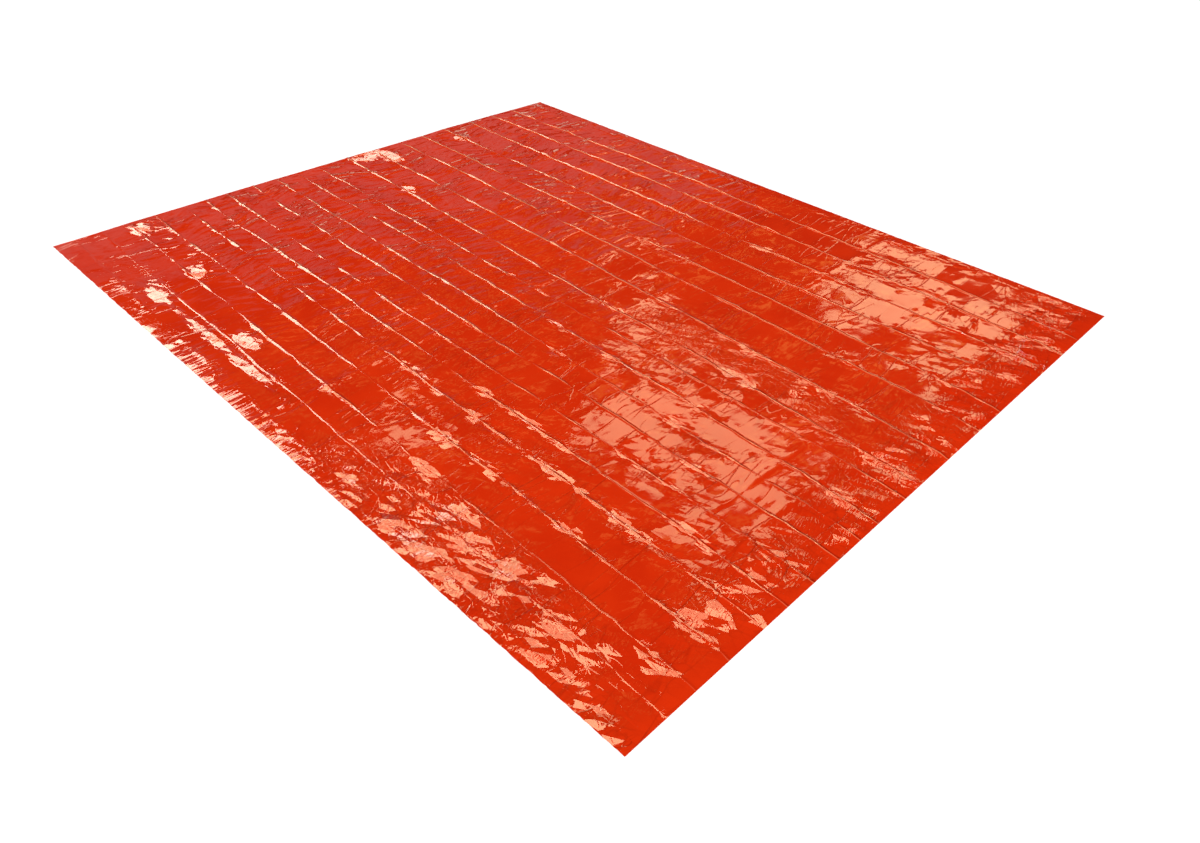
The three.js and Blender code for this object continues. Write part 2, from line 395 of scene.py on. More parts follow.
class FilmSurface:
    """The upper layer of film: where each point of its grid lies, in millimetres."""

    def __init__(self, sizes):
        self.edge = sizes.width / MM / 2
        self.mouth = sizes.length / MM / 2
        self.foot = -self.mouth
        self.weld_height = sizes.weld_height / MM
        self.edge_height = sizes.edge_height / MM
        self.room = sizes.room / MM
        self.side_rise = sizes.side_rise / MM
        self.foot_rise = sizes.foot_rise / MM
        self.mouth_rise = sizes.mouth_rise / MM
        self.flank = sizes.flank
        self.uneven = Uneven(sizes.seed)
        left, right = (LongCrease(side, side, side, 0.0) for side in (-self.edge, self.edge))
        self.lines = np.array([left, *LONG_CREASES, right])
        self.crests_of_lines = self.lines[:, LongCrease._fields.index("crest")]
        self.place_grid()

    def swell(self, wave, line):
        return wave.size * self.uneven.swells(self.y / wave.length, line * wave.row)

    def line_at(self, line):
        """Place across the bag of a long crease or an edge, wandering a little on its way."""
        foot, half, mouth, _ = np.moveaxis(self.lines[line], -1, 0)
        along = self.y / self.mouth
        path = half + (mouth - foot) / 2 * along + ((mouth + foot) / 2 - half) * along**2
        wander = self.swell(SLOW_WANDER, line) + self.swell(QUICK_WANDER, line)
        notch = EDGE_NOTCH.size * self.uneven.swells(self.y / EDGE_NOTCH.length, line * EDGE_NOTCH.row) ** 2
        inwards = np.where(line == 0, notch, -notch)
        edge = (line == 0) | (line == len(self.lines) - 1)
        return path + np.where(edge, inwards, wander)

    def place_grid(self):
        """Columns keep to the long creases, and rows to the cross creases."""
        self.place_columns()
        half = self.lines[:, LongCrease._fields.index("half")]
        across = mix(half[self.line], half[self.line + 1], self.share)
        near, far = self.rows()
        self.y = mix(near[:, None], far[:, None], (across[None, :] + self.edge) / (2 * self.edge))
        self.line = np.broadcast_to(self.line, self.y.shape)
        self.share = np.broadcast_to(self.share, self.y.shape)
        self.low_line = self.line_at(self.line)
        self.high_line = self.line_at(self.line + 1)
        self.x = mix(self.low_line, self.high_line, self.share)

    def place_columns(self):
        """Each column's strip, numbered by the crease on its -X side, and its share of the way across."""
        strips = len(self.lines) - 1
        panel = (1 - np.cos(np.pi * np.arange(STRIP_COLUMNS) / STRIP_COLUMNS)) / 2
        weld = np.arange(WELD_COLUMNS) / WELD_COLUMNS
        shares = [weld if line in (0, strips - 1) else panel for line in range(strips)]
        numbers = [np.full(len(share), line) for line, share in enumerate(shares)]
        self.line = np.concatenate(numbers + [[strips - 1]])
        self.share = np.concatenate(shares + [[1.0]])

    def rows(self):
        """Each row's place along the bag at its -X and its +X end."""
        stations = [(self.foot, self.foot), (self.foot + FOOT_ROW, self.foot + FOOT_ROW)]
        stations += [(crease.near, crease.far) for crease in CROSS_CREASES]
        stations += [(self.mouth, self.mouth)]
        near, far = [], []
        for start, end in zip(stations, stations[1:]):
            steps = max(2, round((sum(end) - sum(start)) / 2 / ROW_STEP))
            near += list(np.linspace(start[0], end[0], steps, endpoint=False))
            far += list(np.linspace(start[1], end[1], steps, endpoint=False))
        return np.array(near + [self.mouth]), np.array(far + [self.mouth])

    def cusp(self, offset, width):
        return np.exp(-np.abs(offset) / width)

    def headwards(self):
        """Goes from a lower share in the foot half to 1 in the head half, where the creases stand up most."""
        return mix(FOOT_SHARE, 1.0, ease((self.y - HEAD_START) / HEAD_SPAN))

    def crest_at(self, line):
        """Height of a long crease's crest, which comes and goes along the bag."""
        swell = CREST_MEAN + self.swell(CREST_SWELL, line)
        course = self.y / BARB.length + self.swell(BARB_SHIFT, line)
        barb = BARB.size * np.clip(self.uneven.facets(course, line * BARB.row), 0, 1) ** 2
        return self.crests_of_lines[line] * np.clip(swell + barb, *CREST_SHARES) * self.headwards()

    def ridge(self, line, offset):
        """A crease's cross section: a sharp ridge, with steeper flanks the further it is from the -X side."""
        steep = self.flank * (1 + STEEPER * self.x / self.edge)
        return np.clip(self.crest_at(line) - steep * np.abs(offset), 0, None)

    def long_ridges(self):
        low = self.ridge(self.line, self.x - self.low_line)
        return low + self.ridge(self.line + 1, self.high_line - self.x)

    def cross_ridges(self):
        height = np.zeros_like(self.x)
        for crease in CROSS_CREASES:
            middle = mix(crease.near, crease.far, (self.x + self.edge) / (2 * self.edge))
            outside = np.min([np.maximum(start - self.x, self.x - end) for start, end in crease.spans], 0)
            shows = ease(1 - np.maximum(outside, 0) / SPAN_FADE)
            nick = NICK_MEAN + NICK_SIZE * self.uneven.facets(self.x / NICK_LENGTH, crease.near / NICK_ROW)
            height += crease.crest * nick * shows * self.cusp(self.y - middle, CROSS_FLANK)
        return height

    def panels(self):
        """Each panel between creases leans its own way: the film stands uneven along every long crease."""
        return mix(self.panel_edge(self.line), self.panel_edge(self.line + 1), self.share)

    def panel_edge(self, line):
        course = self.y / PANEL_LEAN.length + line * PANEL_SHIFT
        return PANEL_LEAN.size * self.uneven.facets(course, line * PANEL_LEAN.row)

    def crumple_distance(self, crumple):
        """Distance from a crumple's middle, as a share of its reach."""
        across = (self.x - crumple.across) / crumple.wide
        return np.hypot(across, (self.y - crumple.along) / crumple.long)

    def crushed(self):
        """Flat facets, small all over, larger by the long creases and in the crushed places."""
        bend = FACET_BEND * self.uneven.swells(self.x / BEND_LENGTH, self.y / BEND_LENGTH)
        turn = FACET_BEND * self.uneven.swells(self.y / TURN_LENGTH + TURN_START, self.x / TURN_LENGTH)
        wide, long = COARSE_SIZE
        coarse = self.uneven.facets((self.x + bend) / wide, (self.y + turn) / long)
        wide, long = FINE_SIZE
        fine = self.uneven.facets((self.x + turn) / wide + FINE_START, (self.y + bend) / long)
        from_crease = np.minimum(self.x - self.low_line, self.high_line - self.x)
        share = FACET_CALM + FACET_FOLDED * np.exp(-from_crease / FACET_REACH)
        height = share * (COARSE_HEIGHT * coarse + FINE_HEIGHT * fine)
        rim = COARSE_RIM * coarse + FINE_RIM * fine
        for crumple in CRUMPLES:
            height += crumple.lift * np.clip(1 - self.crumple_distance(crumple) + rim, 0, CRUMPLE_TOP)
        return height

    def puckers(self):
        """How far the film is drawn into short folds at right angles to its welded edges, from 0 to 1."""
        strength = np.zeros_like(self.x)
        for run in PUCKERS:
            inwards = self.edge - run.side * self.x
            started = ease((self.y - run.start) / PUCKER_ENDS + 0.5)
            going = ease((run.end - self.y) / PUCKER_ENDS + 0.5)
            along = PUCKER_MEAN + self.swell(PUCKER_SWELL, run.side)
            strength += run.strength * started * going * along * np.exp(-((inwards / run.reach) ** 2))
        return strength * ease((self.y - self.foot) / FOLD_FADE)

    def rise(self):
        """The slack of the upper layer: none at the welds and the foot, all of it away from them."""
        first, last = (np.full(self.y.shape, line) for line in (1, len(self.lines) - 2))
        inwards = np.minimum(self.x - self.line_at(first), self.line_at(last) - self.x)
        up = self.y - self.foot
        lofted = self.room * ease((inwards - LOFT_START) / self.side_rise) * ease(up / self.foot_rise)
        full = ease(up / FOOT_BEND) * (1 - FLATTER * ease((self.y - FLATTER_START) / FLATTER_SPAN))
        share = np.clip((inwards + WELD_WIDTH) / WELD_RISE, 0, 1)
        return mix(self.edge_height, self.weld_height, share * full) + lofted

    def mouth_waves(self):
        by_mouth = ease(1 - (self.mouth - self.y) / self.mouth_rise)
        waves = (wave.lift * ease(1 - np.abs(self.x - wave.across) / wave.reach) for wave in MOUTH_WAVES)
        return by_mouth * sum(waves)

    def slack(self):
        """Uneven slack of the panels, which dies out towards the closed edges."""
        across, along = BILLOW_LENGTHS
        billow = self.uneven.swells(self.x / across, self.y / along)
        by_foot = ease((self.y - self.foot) / self.foot_rise)
        by_side = ease((self.edge - np.abs(self.x)) / SLACK_FADE)
        return by_foot * by_side * (self.panels() + billow)

    def creased(self):
        """Ridges and crushed film, which die out towards the edges."""
        up = self.y - self.foot
        by_mouth = mix(MOUTH_SHARE, 1.0, ease((self.mouth - self.y) / MOUTH_FADE))
        ridges = ease(up / RIDGE_FADE) * by_mouth * self.long_ridges()
        ridges += ease(up / FOLD_FADE) * (self.crushed() + self.cross_ridges())
        return ease((self.edge - np.abs(self.x)) / SIDE_FADE) * ridges

    def height(self):
        along, across = PLEAT_LENGTHS
        pleats = 1 - np.abs(self.uneven.swells(self.y / along, self.x / across))
        folds = PUCKER_HEIGHT * self.puckers() * pleats
        height = self.rise() + self.mouth_waves() + self.slack() + self.creased() + folds
        return np.maximum(height, LEAST_HEIGHT)

    def points(self):
        return np.stack([self.x, self.y, self.height()], -1) * MM

    def folded(self):
        """How close each point is to a crease, from 0 to 1, as far as that crease shows there."""
        shows = np.zeros_like(self.x)
        for line, offset in ((self.line, self.x - self.low_line), (self.line + 1, self.high_line - self.x)):
            patchy = ease(FOLD_MEAN + self.swell(FOLD_PATCH, line))
            shows += patchy * self.cusp(offset, FOLD_REACH) * (self.crests_of_lines[line] > 0)
        return np.clip(shows, 0, 1)

    def crests(self):
        """How far a crest is painted with highlight, up to 1, where the film is stretched, and how far the
        film beside it is painted with shade, down to -1.
        """
        above, below = self.x - self.low_line, self.high_line - self.x
        faded = np.clip(1 - (above - PINCH_START) / PINCH_FADE, 0, 1)
        # Painted highlight right on the crest, then painted shade beside it
        crest_shading = np.where(above < CREST_TOP, 1.0, -ease(above / PINCH_RISE) * faded)
        flank_highlight = np.clip(1 - below / CREST_FLANK, 0, 1)
        low, high = self.stands(self.line), self.stands(self.line + 1)
        return np.where(above < below, low * crest_shading, high * flank_highlight)

    def stands(self, line):
        """How far a long crease stands up as a crest, from 0 to 1."""
        share = self.crest_at(line) / (FULL_CREST * self.headwards())
        return np.clip(share, 0, 1) * (self.crests_of_lines[line] > LEAST_CREST)

    def crush(self):
        """How far the film is crushed at each point, from 0 to 1."""
        places = [crumple.crush * ease(CRUSH_RIM - self.crumple_distance(crumple)) for crumple in CRUMPLES]
        return np.max(places, 0)

    def attributes(self):
        """What the material reads of each point, by name."""
        return {
            "strip": self.line + self.share,
            "fold": self.folded(),
            # crest masks the painted highlight on the crests and the painted shade beside them
            "crest": self.crests(),
            "crush": self.crush(),
            "pucker": self.puckers(),
        }


def deselect_all():
    bpy.ops.object.select_all(action="DESELECT")


def shape_film_bag(sizes):
    """A grid pulled to the creased film, its welded and folded edges turned under to a flat lower layer."""
    film = FilmSurface(sizes)
    rows, columns = film.x.shape
    deselect_all()
    bpy.ops.mesh.primitive_grid_add(
        x_subdivisions=columns - 1, y_subdivisions=rows - 1, size=1.0, calc_uvs=False
    )
    bag = bpy.context.object
    bag.name = "film_sleeping_bag"
    mesh = bag.data
    if len(mesh.vertices) != rows * columns:
        raise RuntimeError("the grid has another number of points than the film")
    mesh.vertices.foreach_set("co", film.points().ravel())
    mesh.update()
    turn_under(mesh, rows, columns, sizes)
    for name, shows in film.attributes().items():
        values = np.zeros(len(mesh.vertices))
        values[: rows * columns] = shows.ravel()
        mesh.attributes.new(name, "FLOAT", "POINT").data.foreach_set("value", values)
    bpy.ops.object.shade_smooth_by_angle(angle=SMOOTH_ANGLE)
    return bag


def turn_under(mesh, rows, columns, sizes):
    """The lower layer: the film's edges on three sides, drawn in and laid flat, and closed by one face."""
    select_closed_edges(mesh, rows, columns)
    bpy.ops.object.mode_set(mode="EDIT")
    bpy.ops.mesh.select_mode(type="EDGE")
    bpy.ops.mesh.extrude_edges_move()
    bpy.ops.transform.resize(
        value=(1 - 2 * UNDER_LAP / sizes.width, 1 - UNDER_LAP / sizes.length, 0.0),
        center_override=(0.0, sizes.length / 2, 0.0),
    )
    bpy.ops.mesh.edge_face_add()
    bpy.ops.mesh.select_all(action="SELECT")
    bpy.ops.mesh.normals_make_consistent(inside=False)
    bpy.ops.object.mode_set(mode="OBJECT")


def select_closed_edges(mesh, rows, columns):
    """Selects the rim of the grid on all sides but the mouth."""
    place = np.arange(rows * columns).reshape(rows, columns)
    closed_sides = [side.tolist() for side in (place[0], place[:, 0], place[:, -1])]
    closed = {pair for side in closed_sides for pair in zip(side, side[1:])}
    for item in (mesh.vertices, mesh.polygons):
        item.foreach_set("select", np.zeros(len(item), bool))
    for edge in mesh.edges:
        edge.select = tuple(sorted(edge.vertices)) in closed


class Wire:
    """An output socket that takes part in Python arithmetic, each step of which adds a Math node."""

    def __init__(self, shader, socket):
        self.shader = shader
        self.socket = socket

    def __add__(self, other):
        return self.shader.math("ADD", self, other)

    __radd__ = __add__

    def __sub__(self, other):
        return self.shader.math("SUBTRACT", self, other)

    def __rsub__(self, other):
        return self.shader.math("SUBTRACT", other, self)

    def __mul__(self, other):
        return self.shader.math("MULTIPLY", self, other)

    __rmul__ = __mul__


class Shader:
    """The nodes of one material, about its Principled shader."""

    def __init__(self, name):
        self.material = bpy.data.materials.new(name)
        self.material.use_nodes = True
        self.tree = self.material.node_tree
        self.surface = self.tree.nodes["Principled BSDF"]

    def node(self, kind, settings, sockets, output=0):
        made = self.tree.nodes.new(kind)
        for setting, value in settings.items():
            setattr(made, setting, value)
        for socket, value in sockets.items():
            self.feed(made.inputs[socket], value)
        return Wire(self, made.outputs[output])

    def feed(self, socket, value):
        if isinstance(value, Wire):
            self.tree.links.new(value.socket, socket)
        else:
            socket.default_value = value

    def set(self, **sockets):
        for socket, value in sockets.items():
            self.feed(self.surface.inputs[socket.replace("_", " ").title()], value)

    def math(self, operation, first, second=0.0):
        return self.node("ShaderNodeMath", {"operation": operation}, {0: first, 1: second})

    def between(self, ends, share):
        """A value that goes from the first end to the second as the share goes from 0 to 1."""
        first, second = ends
        return first + share * (second - first)

    def ramp(self, value, low, high):
        settings = {"interpolation_type": "SMOOTHSTEP"}
        return self.node("ShaderNodeMapRange", settings, {0: value, 1: low, 2: high})

    def vector(self, operation, first, second=(0.0, 0.0, 0.0)):
        return self.node("ShaderNodeVectorMath", {"operation": operation}, {0: first, 1: second})

    def scaled(self, vector, size):
        return self.node("ShaderNodeVectorMath", {"operation": "SCALE"}, {0: vector, 3: size})

    def join(self, x, y):
        return self.node("ShaderNodeCombineXYZ", {}, {0: x, 1: y})

    def split(self, vector, axis):
        return self.node("ShaderNodeSeparateXYZ", {}, {0: vector}, axis)

    def blend(self, share, first, second):
        return self.node("ShaderNodeMix", {"data_type": "RGBA"}, {0: share, 6: first, 7: second}, 2)

    def laid(self, place, across, along, turn):
        """Coordinates in grains of a size in millimetres, turned by degrees."""
        sockets = {
            "Vector": place,
            "Rotation": (0.0, 0.0, math.radians(turn)),
            "Scale": (across * MM, along * MM, 1.0),
        }
        return self.node("ShaderNodeMapping", {"vector_type": "TEXTURE"}, sockets)

    def noise(self, place, detail):
        sockets = {"Vector": place, "Scale": 1.0, "Detail": detail}
        return self.node("ShaderNodeTexNoise", {"noise_dimensions": "2D"}, sockets, "Fac")

    def random(self, place):
        return self.node("ShaderNodeTexWhiteNoise", {"noise_dimensions": "2D"}, {"Vector": place}, "Color")

    def cells(self, place, feature, output):
        settings = {"voronoi_dimensions": "2D", "feature": feature}
        return self.node("ShaderNodeTexVoronoi", settings, {"Vector": place, "Scale": 1.0}, output)

    def either_way(self, colour):
        """Random values from 0 to 1, turned to values from -1 to 1."""
        return self.vector("MULTIPLY", self.vector("SUBTRACT", colour, MIDDLE), (2.0, 2.0, 2.0))


MIDDLE = (0.5, 0.5, 0.5)


def opaque(colour):
    return (*colour, 1.0)


class Wrinkle(NamedTuple):
    """Fine wrinkles: their length and spacing in mm, turn in degrees, breadth, height in mm, and place."""

    long: float
    apart: float
    turn: float
    breadth: float
    lift: float
    place: str


class Stroke(NamedTuple):
    """Short wrinkles across each strip: their spacing along it in mm, their breadth, and two heights in mm.

    The first height is for the foot half of the bag and the near edge, the second for the rest.
    """

    apart: float
    breadth: float
    foot: float
    head: float


class Shard(NamedTuple):
    """Flat shards: their length and breadth in mm, turn in degrees, and lean where flat, folded and crushed.

    Turned is how much they differ in how soon they turn over.
    """

    long: float
    broad: float
    turn: float
    flat: float
    folded: float
    crushed: float
    turned: float


WRINKLES = (
    Wrinkle(70, 15.0, -12, 0.06, 0.20, "fold"),
    Wrinkle(60, 18.0, 22, 0.06, 0.50, "crush"),
    Wrinkle(45, 17.0, 75, 0.06, 0.40, "crush"),
    Wrinkle(50, 9.0, 14, 0.09, 0.35, "crush"),
    Wrinkle(110, 30.0, 8, 0.05, 0.18, "all"),
)

STROKES = (
    Stroke(48, 0.26, 0.15, 1.50),
    Stroke(30, 0.20, 0.10, 0.80),
)

SHARDS = (
    Shard(48, 70, 10, 0.012, 0.06, 0.05, 0.20),
    Shard(11, 36, 24, 0.004, 0.20, 0.26, 0.16),
)

# What the film's finish reads of its mesh
ATTRIBUTES = ("strip", "fold", "crest", "crush", "pucker")

# Drift that keeps the lines from being straight: swells in a metre, and its size in metres and in strips
DRIFT_SWELLS, DRIFT_SIZE, STRIP_DRIFT = 9.0, 0.016, 0.3

# Zones of the film: patches of a size in mm and a turn, and zones that begin and end at places in metres
PATCH_SIZE, PATCH_ENDS = (150, 80, 15), (0.42, 0.62)
HEAD_ENDS, STIRRED_ENDS = (-0.25, 0.3), (-0.8, -0.4)
MOST_CRUSHED = 0.36

# Values that go from calm to grouped or stirred film, or from the foot half to the head half
# The second pair is the painted shade along the brick lines
LINE_DEPTH, BRICK_LINE_SHADE = (0.05, 0.30), (0.21, 0.70)
SHARD_CALM, SHARD_STIRRED = (0.4, 1.4), (1.0, 3.5)
STROKE_GROUPED = (0.35, 1.0)
FOLD_HEADWARDS, CRUSH_HEADWARDS = (1.0, 0.15), (1.0, 0.3)
# Painted highlight on the crests, from the foot half to the head half
HIGHLIGHT_HEADWARDS = (0.45, 0.75)

# Cross lines of the strips, which wave a little: waves in a strip and in a metre, and their size in bricks
BRICK_WAVES, BRICK_WAVE = (0.7, 5.0), 0.5
LINE_BREADTH = 0.03

# Shards: their rims, the painted shade on the rims by the folds and in the crushed places, and how far those
# that turn over lean to the -X side and, by the mouth, to the foot
RIM_BREADTH, RIM_SHADE_FOLDED, RIM_SHADE_CRUSHED = 0.07, 0.3, 0.9
TURNED_BY_FOLD, TURNED_ENDS = 0.6, (0.42, 0.5)
ASIDE_LEAN, ASIDE_GAIN, FOOT_LEAN = 0.55, 0.5, 0.16

# Pleats at the welds: their length and spacing in mm and turn in degrees, and their height in mm
STRAIGHT_PLEATS, BENT_PLEATS, PLEAT_LIFT = (300, 11, 3), (120, 24, -6), 2.4

# Strokes: their length in strips, and the step in the noise from one strip to the next
STROKE_LENGTH, STROKE_STEP = 0.8, 7

# Painted shade along the wrinkles and strokes, how much of the painted shade along lines and beside the
# crests shows, and where the painted highlight on the crests starts
WRINKLE_SHADE, STROKE_SHADE = 0.35, 0.08
SHADED_SHARE, CREST_SHADE_SHARE = 0.6, 0.8
HIGHLIGHT_FROM = 0.1

# Clouds in the dye and the gloss
CLOUD_SIZE, CLOUD_DETAIL, CLOUD_ENDS = (160, 160, 0), 4.0, (0.35, 0.7)
CLOUD_ROUGHNESS = 0.04
FILM_IOR = 1.5


class CreasedFilm(Shader):
    """Glossy dyed film: bricks and shards that each lean their own way, fine wrinkles, painted shade along
    lines and creases, and painted highlight on the crests.
    """

    def __init__(self, finish):
        super().__init__("creased_film")
        self.finish = finish
        self.place = self.node("ShaderNodeTexCoord", {}, {}, "Object")
        self.normal = self.node("ShaderNodeNewGeometry", {}, {}, "Normal")
        self.shows = {name: self.attribute(name) for name in ATTRIBUTES}
        self.bend_place()
        self.find_zones()
        self.lay_bricks()
        self.break_shards()
        self.pucker_edges()
        self.add_wrinkles()
        self.add_strokes()
        self.dye()

    def attribute(self, name):
        return self.node("ShaderNodeAttribute", {"attribute_name": name}, {}, "Fac")

    def bend_place(self):
        """Coordinates that drift a little, and the strip that each point is in."""
        swells = {"Vector": self.place, "Scale": DRIFT_SWELLS, "Detail": 0.0}
        self.drift = self.vector("SUBTRACT", self.node("ShaderNodeTexNoise", {}, swells, "Color"), MIDDLE)
        drift = self.vector("MULTIPLY", self.drift, (DRIFT_SIZE, DRIFT_SIZE, 0.0))
        self.bent = self.vector("ADD", self.place, drift)
        self.aside = self.split(self.bent, 0)
        self.along = self.split(self.bent, 1)
        self.strip = self.math("FLOOR", self.shows["strip"])
        self.strip_values = self.random(self.join(self.strip, 0.0))

    def find_zones(self):
        """Where the film is grouped into wrinkled patches, headwards, stirred, folded and crushed."""
        self.grouped = self.ramp(self.noise(self.laid(self.place, *PATCH_SIZE), 1.0), *PATCH_ENDS)
        self.headwards = self.ramp(self.along, *HEAD_ENDS)
        self.stirred = self.headwards * self.ramp(self.aside, *STIRRED_ENDS)
        self.by_fold = self.shows["fold"] * self.between(FOLD_HEADWARDS, self.headwards)
        self.crushed = self.math("MINIMUM", self.shows["crush"], MOST_CRUSHED)

    def lean(self, lean, tilt):
        self.normal = self.vector("ADD", self.normal, self.scaled(lean, tilt))

    def lay_bricks(self):
        """Cross lines part each strip into bricks, each with a lean of its own."""
        across, along = BRICK_WAVES
        drifted = self.shows["strip"] + self.split(self.drift, 0) * STRIP_DRIFT
        wave = self.noise(self.join(drifted * across, self.along * along), 0.0) * BRICK_WAVE
        brick = self.along * (1 / self.finish.brick_length) + self.split(self.strip_values, 0) + wave
        values = self.random(self.join(self.strip, self.math("FLOOR", brick)))
        self.lean(self.either_way(values), self.finish.brick_tilt)
        line = 1 - self.ramp(self.math("PINGPONG", brick, 0.5), 0.0, LINE_BREADTH)
        self.height = line * self.between(LINE_DEPTH, self.grouped) * -1
        # Painted shade along the brick lines
        self.shaded = line * self.between(BRICK_LINE_SHADE, self.grouped)

    def break_shards(self):
        """Flat shards with painted shade on their rims, some of which turn over by the folds and in the
        crushed places.
        """
        calm = self.between(SHARD_CALM, self.grouped) * self.between(SHARD_STIRRED, self.stirred)
        turned = self.shows["crush"] + self.by_fold * TURNED_BY_FOLD
        for shard in SHARDS:
            cell = self.laid(self.bent, shard.long, shard.broad, shard.turn)
            lean = self.either_way(self.cells(cell, "F1", "Color"))
            self.lean(lean, shard.flat * calm + self.by_fold * shard.folded + self.crushed * shard.crushed)
            rim = 1 - self.ramp(self.cells(cell, "DISTANCE_TO_EDGE", "Distance"), 0.0, RIM_BREADTH)
            # Painted shade on the shards' rims
            self.shaded = self.shaded + rim * (self.by_fold * RIM_SHADE_FOLDED + self.crushed * RIM_SHADE_CRUSHED)
            turned = turned + self.split(lean, 2) * shard.turned
        over = self.ramp(turned, *TURNED_ENDS)
        aside = (ASIDE_LEAN + self.aside * ASIDE_GAIN) * -1
        footwards = self.math("MAXIMUM", self.along, 0.0) * -FOOT_LEAN
        self.lean(self.join(aside, footwards), over)
        self.normal = self.vector("NORMALIZE", self.normal)

    def pucker_edges(self):
        straight = self.noise(self.laid(self.place, *STRAIGHT_PLEATS), 1.0)
        bent = self.noise(self.laid(self.bent, *BENT_PLEATS), 1.0)
        self.height = self.height + (straight + bent) * self.shows["pucker"] * PLEAT_LIFT

    def ridge(self, grain, breadth):
        """Thin lines where a noise crosses its middle."""
        return 1 - self.ramp(self.math("ABSOLUTE", grain - 0.5), 0.0, breadth)

    def add_wrinkles(self):
        crushed = self.crushed * self.between(CRUSH_HEADWARDS, self.headwards)
        wrinkled = {"fold": self.shows["fold"], "crush": crushed, "all": self.grouped}
        for wrinkle in WRINKLES:
            grain = self.noise(self.laid(self.bent, wrinkle.long, wrinkle.apart, wrinkle.turn), 1.0)
            ridge = self.ridge(grain, wrinkle.breadth) * wrinkled[wrinkle.place]
            self.height = self.height + ridge * wrinkle.lift
            # Painted shade along each wrinkle
            self.shaded = self.shaded + ridge * WRINKLE_SHADE

    def add_strokes(self):
        """Each strip's strokes slant their own way."""
        slant = (self.shows["strip"] - self.strip) * (self.split(self.strip_values, 1) - 0.5) * 2
        across = self.shows["strip"] * STROKE_LENGTH + self.strip * STROKE_STEP
        for stroke in STROKES:
            course = self.along * (1 / stroke.apart / MM) + slant
            ridge = self.ridge(self.noise(self.join(across, course), 0.0), stroke.breadth)
            high = self.between((stroke.foot, stroke.head), self.stirred)
            lifted = ridge * (high * self.between(STROKE_GROUPED, self.grouped))
            self.height = self.height + lifted
            # Painted shade along each stroke
            self.shaded = self.shaded + lifted * STROKE_SHADE

    def dye(self):
        """Colour with painted shade and painted highlight, gloss and relief, fed to the shader."""
        finish = self.finish
        cloud = self.noise(self.laid(self.place, *CLOUD_SIZE), CLOUD_DETAIL)
        thick = self.ramp(cloud, *CLOUD_ENDS)
        colour = self.blend(thick, opaque(finish.colour), opaque(finish.deep_colour))
        # Painted shade along the lines, wrinkles, strokes and shard rims, and beside the crests
        crest_shading = self.ramp(self.shows["crest"], 0.0, -1.0)
        painted_shade = self.shaded * SHADED_SHARE + crest_shading * CREST_SHADE_SHARE
        colour = self.blend(painted_shade, colour, opaque(finish.crease_shade_colour))
        # Painted highlight on the crests, also standing for stretched, paler film
        pale = self.ramp(self.shows["crest"], HIGHLIGHT_FROM, 1.0) * self.between(HIGHLIGHT_HEADWARDS, self.headwards)
        colour = self.blend(pale, colour, opaque(finish.crest_highlight_colour))
        relief = {"Strength": 1.0, "Distance": MM, "Height": self.height, "Normal": self.normal}
        bumped = self.node("ShaderNodeBump", {}, relief)
        self.set(base_color=colour, roughness=finish.roughness + cloud * CLOUD_ROUGHNESS, normal=bumped)
        self.surface.inputs["IOR"].default_value = FILM_IOR


class Softbox(NamedTuple):
    """A flat light: its place, its width and height in metres, its brightness and colour, and what it faces.

    Without an aim it faces straight down.
    """

    name: str
    place: tuple
    size: tuple
    brightness: float
    colour: tuple
    aim: tuple = None


WARM = (1.0, 0.82, 0.46)
PALE = (1.0, 0.91, 0.70)
AMBER = (1.0, 0.60, 0.12)
PLAIN = (1.0, 0.98, 0.96)
BAG_MIDDLE = (0.0, 0.0, 0.0)
BAG_HEAD = (0.0, 0.4, 0.0)
BAG_RIGHT = (1.0, 0.6, 0.0)

